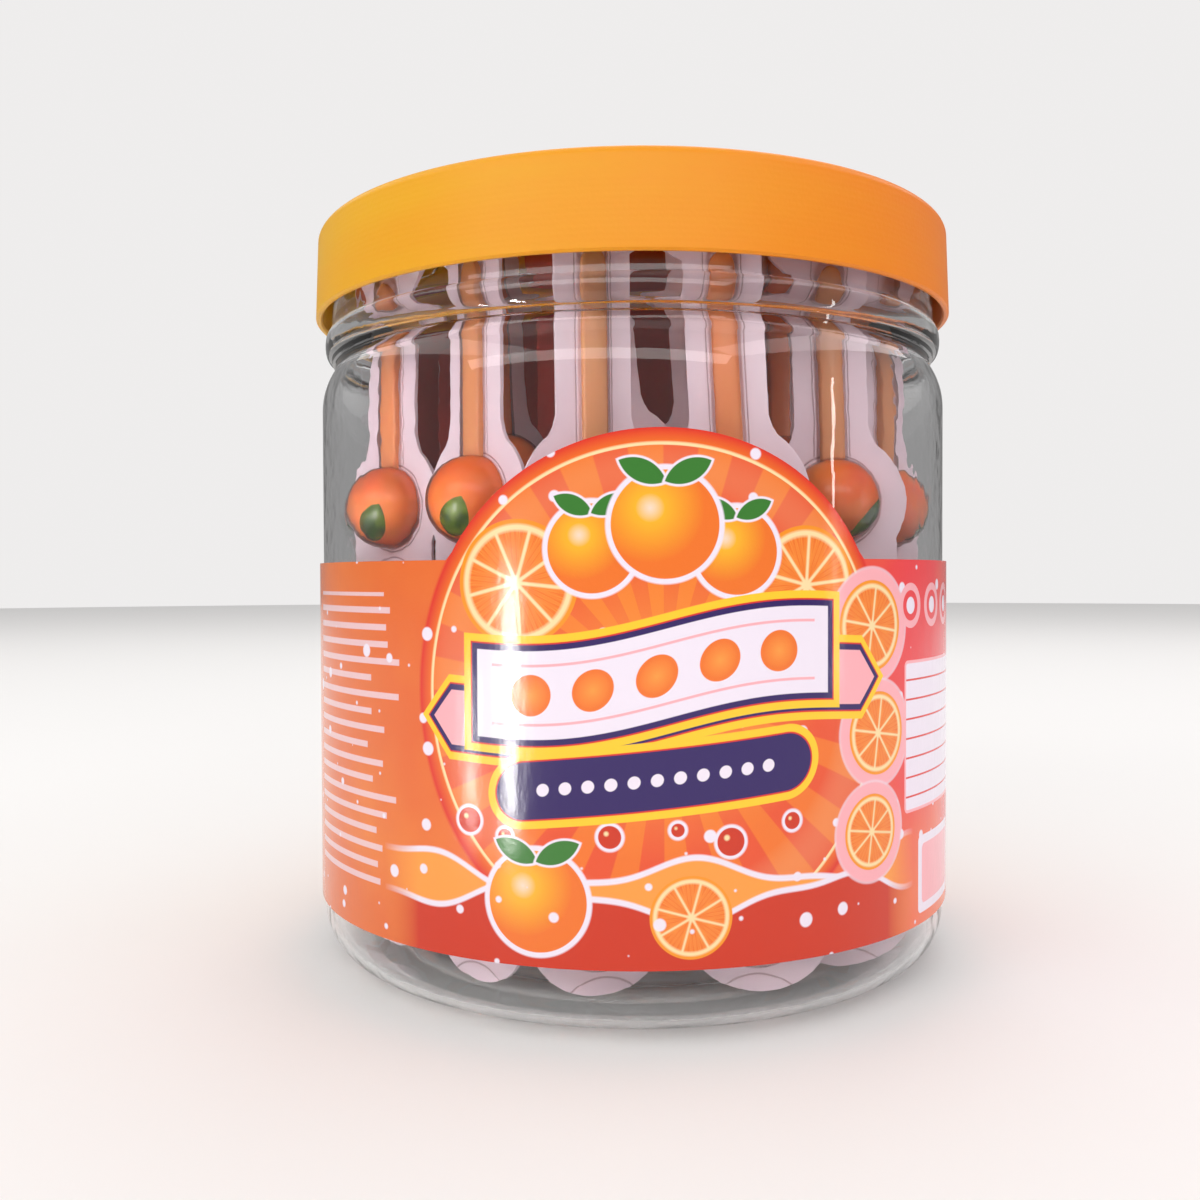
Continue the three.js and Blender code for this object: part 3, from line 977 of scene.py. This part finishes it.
def slightly_uneven(heap, amount):
    """Shifts every corner of a heap by slow waves, so no two sweets are the same."""
    for corner in heap.verts:
        x, y, z = corner.co / (WAVE_LENGTH * MM)
        wave = Vector((math.sin(z * 1.3 + y), math.sin(x * 1.1 + z), math.sin(y * 1.2 - x)))
        corner.co += wave * amount * MM
    return heap


def gummy_finish():
    """Soft sugar gel: it lets light in a little, glows orange and has a moist, faintly dimpled skin."""
    finish = Finish("gummy")
    cloud = finish.contrast(finish.noise(75, detail=2), 0.3, 0.7)
    tone = finish.node("ShaderNodeAttribute", output="Fac", attribute_name="tone")
    colour = finish.blend(cloud, GUMMY_DEEP, GUMMY_BRIGHT)
    shader = finish.principled(
        {
            "Base Color": finish.blend(tone * 0.5, colour, GUMMY_ROSE),
            "Roughness": 0.3,
            "IOR": 1.43,
            "Subsurface Weight": 0.3,
            "Subsurface Radius": (1.0, 0.3, 0.1),
            "Subsurface Scale": 2.0 * MM,
            "Coat Weight": 0.25,
            "Coat Roughness": 0.12,
            "Normal": finish.bump(finish.noise(420, detail=2), 0.05 * MM),
        }
    )
    return finish.coat_with(shader)


gummies = slightly_uneven(in_every_place(down_the_stick(one_gummy), STICK_PLACES), UNEVENNESS)
balls = piece_from(gummies, "gummy_balls", gummy_finish(), sharp=60)
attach(balls, "root")
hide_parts("candy_sticks")

# ---------------------------------------------------------------------------------------------
# The leaf drops: an almond of firm green jelly on the lower face of every gummy, with its tip up
# to the right. Each is a thin cap that follows the round of the gummy, and has rolled with it.
# ---------------------------------------------------------------------------------------------
LEAF_LENGTH = 8.8
LEAF_WIDTH = 4.9
LEAF_HEIGHT = 0.42
LEAF_THICK = 0.25
LEAF_DROP = math.radians(33)
LEAF_TILT = math.radians(28)
LEAF_DARK = shown(44, 84, 12)
LEAF_OLIVE = shown(112, 138, 30)


def one_leaf(fine):
    """A grid squeezed to an almond, laid on the gummy's round and raised along its middle."""
    leaf = bmesh.new()
    steps = 12 if fine else 5
    bmesh.ops.create_grid(leaf, x_segments=steps // 2, y_segments=steps, size=1)
    along = Vector((math.sin(LEAF_TILT), math.cos(LEAF_TILT)))
    across = Vector((math.cos(LEAF_TILT), -math.sin(LEAF_TILT)))
    lowered = Matrix.Rotation(LEAF_DROP, 3, "X")
    for corner in leaf.verts:
        s, t = corner.co.y, corner.co.x
        half_width = LEAF_WIDTH / 2 * max(0, 1 - s * s) ** 0.75
        flat = along * s * LEAF_LENGTH / 2 + across * t * half_width
        reach = flat.length / GUMMY_RADIUS
        flat = flat.normalized() * math.sin(reach)
        outward = lowered @ Vector((flat.x, -math.cos(reach), flat.y))
        raised = LEAF_HEIGHT * (1 - t * t) * (1 - s * s) ** 0.6
        corner.co = outward * (GUMMY_RADIUS + 0.03 + raised) * MM
        corner.co.z += GUMMY_LIFT * MM
    bmesh.ops.remove_doubles(leaf, verts=leaf.verts, dist=0.05 * MM)
    bmesh.ops.recalc_face_normals(leaf, faces=leaf.faces)
    if sum(face.normal.y for face in leaf.faces) > 0:
        bmesh.ops.reverse_faces(leaf, faces=leaf.faces)
    bmesh.ops.solidify(leaf, geom=leaf.faces, thickness=LEAF_THICK * MM)
    bmesh.ops.recalc_face_normals(leaf, faces=leaf.faces)
    return leaf


def leaf_finish():
    """Firm glossy jelly, dark green mottled with olive."""
    finish = Finish("leaf_drop")
    mottle = finish.contrast(finish.noise(240, detail=2), 0.4, 0.68)
    shader = finish.principled(
        {
            "Base Color": finish.blend(mottle, LEAF_DARK, LEAF_OLIVE),
            "Roughness": mottle * 0.1 + 0.14,
            "Subsurface Weight": 0.15,
            "Subsurface Radius": (0.5, 1.0, 0.2),
            "Subsurface Scale": 0.8 * MM,
            "Coat Weight": 0.5,
            "Normal": finish.bump(finish.noise(500, detail=2), 0.05 * MM),
        }
    )
    return finish.coat_with(shader)


rolls = [Matrix.Rotation(math.radians(stick[-1]), 4, "Z") for _, sticks in RINGS for stick in sticks]
rolled_places = [place @ roll for place, roll in zip(STICK_PLACES, rolls)]
leaf_heap = slightly_uneven(in_every_place(down_the_stick(one_leaf), rolled_places), UNEVENNESS)
leaves = piece_from(leaf_heap, "leaf_drops", leaf_finish(), sharp=50)
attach(leaves, "root")
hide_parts("candy_sticks")

# ---------------------------------------------------------------------------------------------
# The handles: a flat bar of tinted plastic runs up from the top gummy of each stick to a rounded
# end. The shade differs from stick to stick, from tan to orange.
# ---------------------------------------------------------------------------------------------
BAR_WIDTH = 4.1
BAR_DEPTH = 1.1
BAR_TOP = 120
BAR_EDGE = 0.45
BAR_TAN = shown(218, 160, 112)
BAR_ORANGE = shown(244, 128, 52)


def one_bar():
    """The bar's outline with its round end, extruded to its depth, with eased edges."""
    half = BAR_WIDTH / 2
    outline = [(-half, TOP_BALL), (half, TOP_BALL), *arc(0, BAR_TOP - half, half, 0, 180, 10)]
    bar = bmesh.new()
    corners = [bar.verts.new((x * MM, (BALL_BACK - BAR_DEPTH) * MM, z * MM)) for x, z in outline]
    grown = bmesh.ops.extrude_face_region(bar, geom=[bar.faces.new(corners)])["geom"]
    moved = [v for v in grown if isinstance(v, bmesh.types.BMVert)]
    bmesh.ops.translate(bar, vec=(0, (BAR_DEPTH + 0.1) * MM, 0), verts=moved)
    bmesh.ops.recalc_face_normals(bar, faces=bar.faces)
    front = [e for e in bar.edges if all(v.co.y < 0 for v in e.verts)]
    bmesh.ops.bevel(
        bar, geom=front, offset=BAR_EDGE * MM, affect="EDGES", segments=2, profile=0.5, material=-1
    )
    return bar


def bar_finish():
    """Tinted plastic with fine streaks along it, each stick in a shade of its own."""
    finish = Finish("stick_plastic")
    tone = finish.node("ShaderNodeAttribute", output="Fac", attribute_name="tone")
    streak = finish.noise(220, detail=2, stretch=(1, 1, 0.12))
    shader = finish.principled(
        {
            "Base Color": finish.blend(tone * 0.75 + streak * 0.25, BAR_TAN, BAR_ORANGE),
            "Roughness": streak * 0.15 + 0.32,
            "Subsurface Weight": 0.2,
            "Subsurface Radius": (1.0, 0.5, 0.2),
            "Subsurface Scale": 1.0 * MM,
            "Normal": finish.bump(streak, 0.06 * MM),
        }
    )
    return finish.coat_with(shader)


bars = piece_from(in_every_place(one_bar(), STICK_PLACES), "stick_handles", bar_finish())
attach(bars, "root")
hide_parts("candy_sticks")

# ---------------------------------------------------------------------------------------------
# The blister film: thin clear film, drawn into a dome over every gummy and a channel over every
# handle, and welded to the card. The domes are closed forms whose backs lie inside the card.
# ---------------------------------------------------------------------------------------------
CHANNEL_DEPTH = 2.5
CHANNEL_TOP = 121
FILM_TINT = (0.985, 0.965, 0.97, 1)


def one_film_dome(fine):
    return dome(BALL_RADIUS, BALL_BACK + 0.25, 0, 8 if fine else 4, 32 if fine else 14)


def one_channel():
    """A round bead, stretched to the handle's length and flattened against the card."""
    channel = bmesh.new()
    bmesh.ops.create_uvsphere(channel, u_segments=20, v_segments=10, radius=CHANNEL_RADIUS * MM)
    for corner in channel.verts:
        middle = (CHANNEL_TOP - CHANNEL_RADIUS if corner.co.z > 0 else TOP_BALL) * MM
        corner.co.z += middle
        corner.co.y = min(corner.co.y, 0) * CHANNEL_DEPTH / CHANNEL_RADIUS + (BALL_BACK + 0.1) * MM
    return channel


def film_finish():
    """Clear film: seen through head on, and a bright gloss at a glancing angle."""
    finish = Finish("blister_film")
    wrinkle = finish.noise(300, detail=2)
    normal = finish.bump(wrinkle, 0.05 * MM)
    gloss = finish.node("ShaderNodeBsdfGlossy", {"Roughness": 0.18, "Normal": normal})
    clear = finish.node("ShaderNodeBsdfTransparent", {"Color": FILM_TINT})
    edge_on = finish.node("ShaderNodeFresnel", {"IOR": 1.22, "Normal": normal})
    return finish.coat_with(finish.node("ShaderNodeMixShader", {0: edge_on, 1: clear, 2: gloss}))


film_material = film_finish()
film_domes = in_every_place(down_the_stick(one_film_dome), STICK_PLACES)
domes = piece_from(film_domes, "blister_domes", film_material, sharp=60)
film_channels = in_every_place(one_channel(), STICK_PLACES)
channels = piece_from(film_channels, "blister_channels", film_material, sharp=70)
for film in (domes, channels):
    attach(film, "root")
    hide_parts("candy_sticks")
